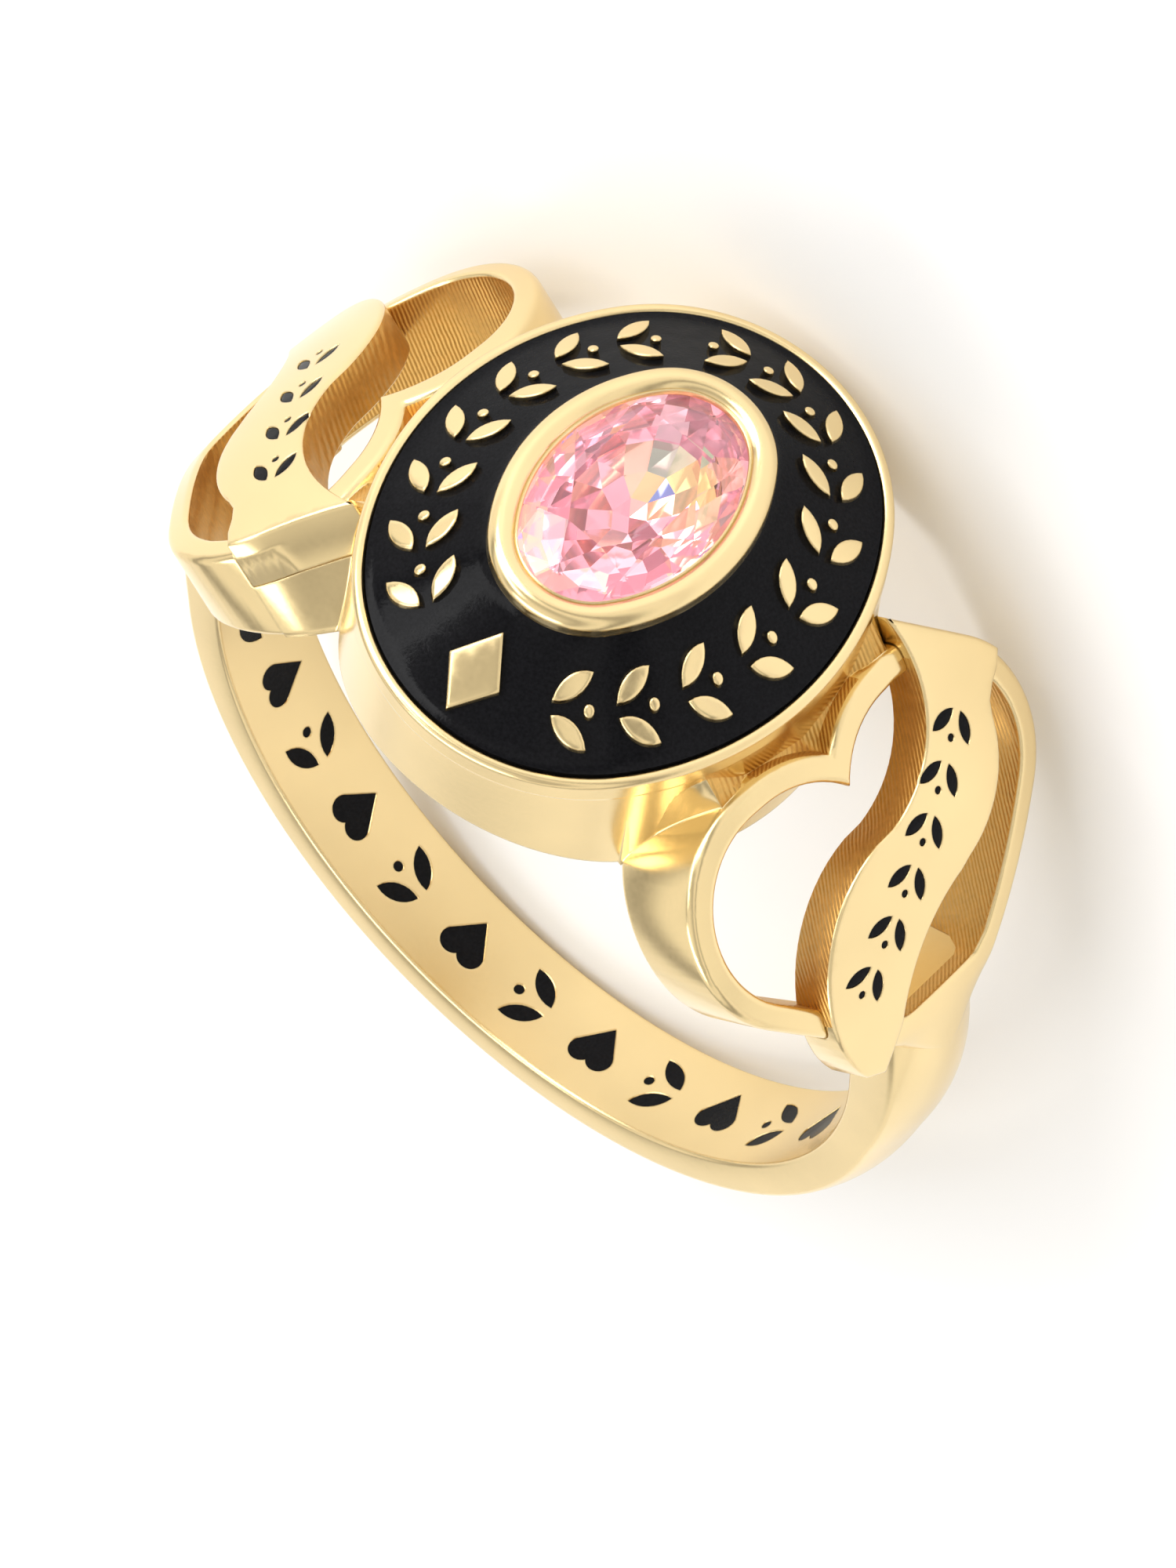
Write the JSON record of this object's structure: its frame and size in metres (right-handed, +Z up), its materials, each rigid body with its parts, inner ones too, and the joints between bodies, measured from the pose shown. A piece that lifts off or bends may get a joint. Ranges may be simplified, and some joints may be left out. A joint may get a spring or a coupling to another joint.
{
  "type": "class ring",
  "caption": "Class ring lying on its side: oval signet head with bezel-set oval stone and enamel field, pierced heart shoulders crossed by ribbons, rounded band.",
  "frame": {"origin": "middle of the ring's outline on the surface that it lies on", "axes": "+Z up from the surface, -Y the way the head faces, X across the shoulders"},
  "size_m": [0.0204, 0.0233, 0.0123],
  "materials": {
    "gold": "polished, with matte cast walls inside the openings",
    "stone": "faceted and clear",
    "enamel": "glossy"
  },
  "bodies": {
    "root": {"ring_body": "gold", "centre_stone": "stone", "field_enamel": "enamel", "right_ribbon_enamel": "enamel", "left_ribbon_enamel": "enamel", "band_enamel": "enamel"}
  },
  "joints": []
}
